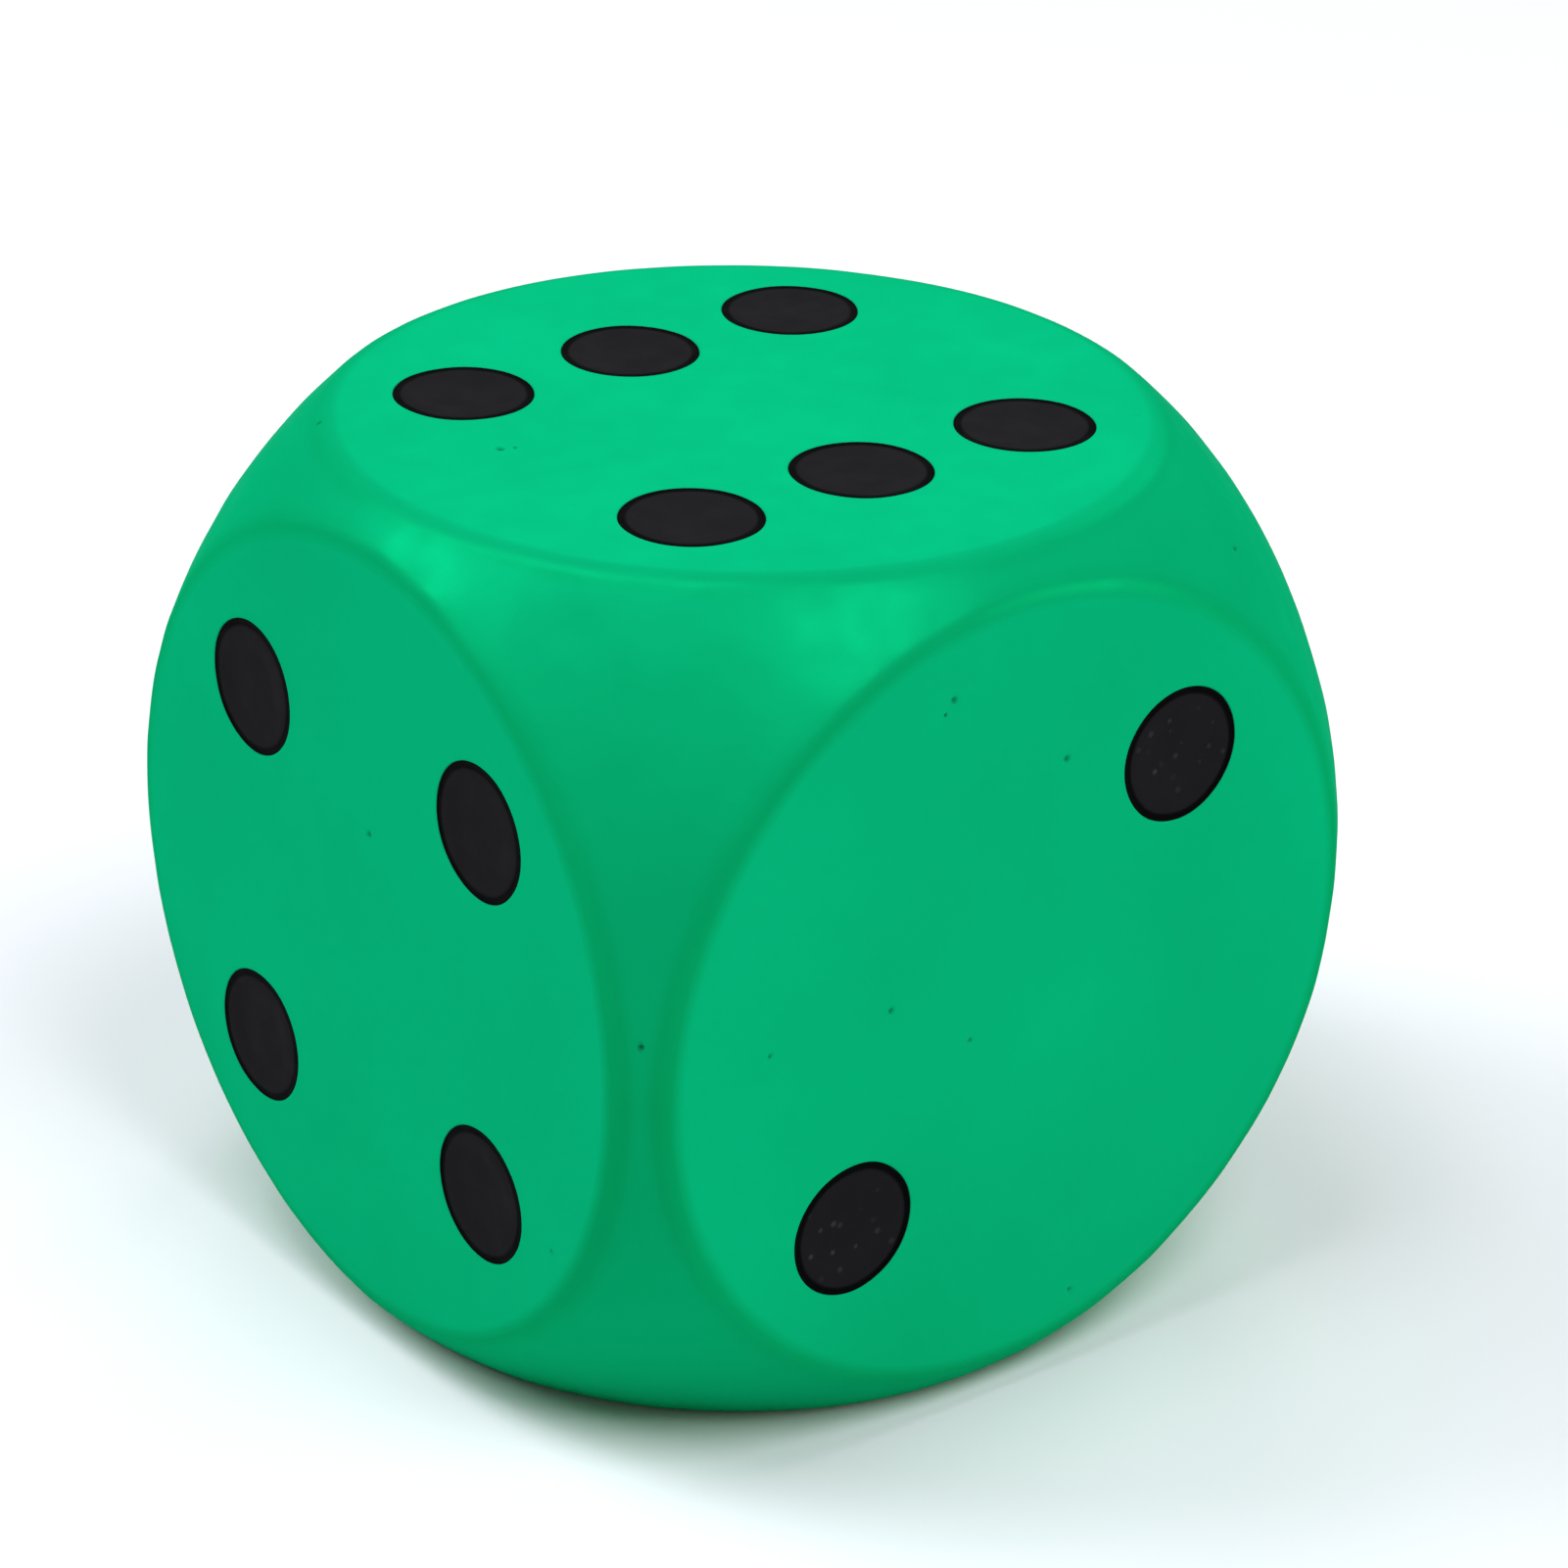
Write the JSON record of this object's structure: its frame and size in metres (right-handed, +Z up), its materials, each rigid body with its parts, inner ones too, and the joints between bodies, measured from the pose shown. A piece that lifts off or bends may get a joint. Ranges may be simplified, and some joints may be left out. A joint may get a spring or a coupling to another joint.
{
  "type": "giant foam dice",
  "caption": "Large soft playing die with flat round faces on a ball-cornered body, a smooth green coat over a foam core, and shallow black pips.",
  "frame": {"origin": "middle of the die's one face, on the surface that it stands on", "axes": "+Z up, out of the six face; -Y out of the two face, which is the front; -X out of the four face, which is the left"},
  "size_m": [0.127, 0.127, 0.127],
  "materials": {
    "foam": "open-cell polyurethane foam, matt",
    "green_skin": "smooth satin polyurethane coat",
    "black_coat": "smooth satin-matt polyurethane coat"
  },
  "bodies": {
    "root": {"foam_core": "foam", "skin": "green_skin", "pip_1_centre": "black_coat", "pip_2_lower_left": "black_coat", "pip_2_upper_right": "black_coat", "pip_3_lower_front": "black_coat", "pip_3_centre": "black_coat", "pip_3_upper_back": "black_coat", "pip_4_lower_back": "black_coat", "pip_4_lower_front": "black_coat", "pip_4_upper_back": "black_coat", "pip_4_upper_front": "black_coat", "pip_5_centre": "black_coat", "pip_5_lower_left": "black_coat", "pip_5_lower_right": "black_coat", "pip_5_upper_left": "black_coat", "pip_5_upper_right": "black_coat", "pip_6_back_left": "black_coat", "pip_6_back_middle": "black_coat", "pip_6_back_right": "black_coat", "pip_6_front_left": "black_coat", "pip_6_front_middle": "black_coat", "pip_6_front_right": "black_coat"}
  },
  "joints": []
}
